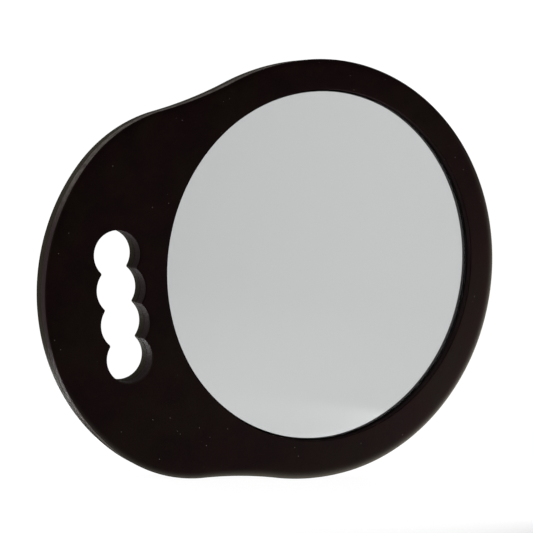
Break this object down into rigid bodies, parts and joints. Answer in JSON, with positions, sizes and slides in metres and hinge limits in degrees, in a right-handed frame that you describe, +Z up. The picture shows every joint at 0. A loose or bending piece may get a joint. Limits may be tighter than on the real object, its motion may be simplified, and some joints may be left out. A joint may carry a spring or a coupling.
{
  "type": "hand mirror",
  "caption": "Round salon mirror set into a thick black foam board, with a broad handle side and a lobed slot for the fingers.",
  "frame": {"origin": "middle of the footprint, on the surface the mirror stands on", "axes": "+Z up, +Y through the board from the mirror's face to its back, so the mirror faces -Y, +X along the board's length away from the handle"},
  "size_m": [0.3346, 0.018, 0.2806],
  "materials": {
    "foam": "matte",
    "glue": "satin",
    "clear_glass": "polished",
    "silver": "polished",
    "backing_paint": "matte",
    "foam_tape": "matte"
  },
  "bodies": {
    "root": {"front_foam_sheet": "foam", "back_foam_sheet": "foam", "sheet_bond_film": "glue", "mirror_glass": "clear_glass", "mirror_silvering": "silver", "mirror_backing_paint": "backing_paint", "mounting_tape_1": "foam_tape", "mounting_tape_2": "foam_tape", "mounting_tape_3": "foam_tape", "mounting_tape_4": "foam_tape"}
  },
  "joints": []
}
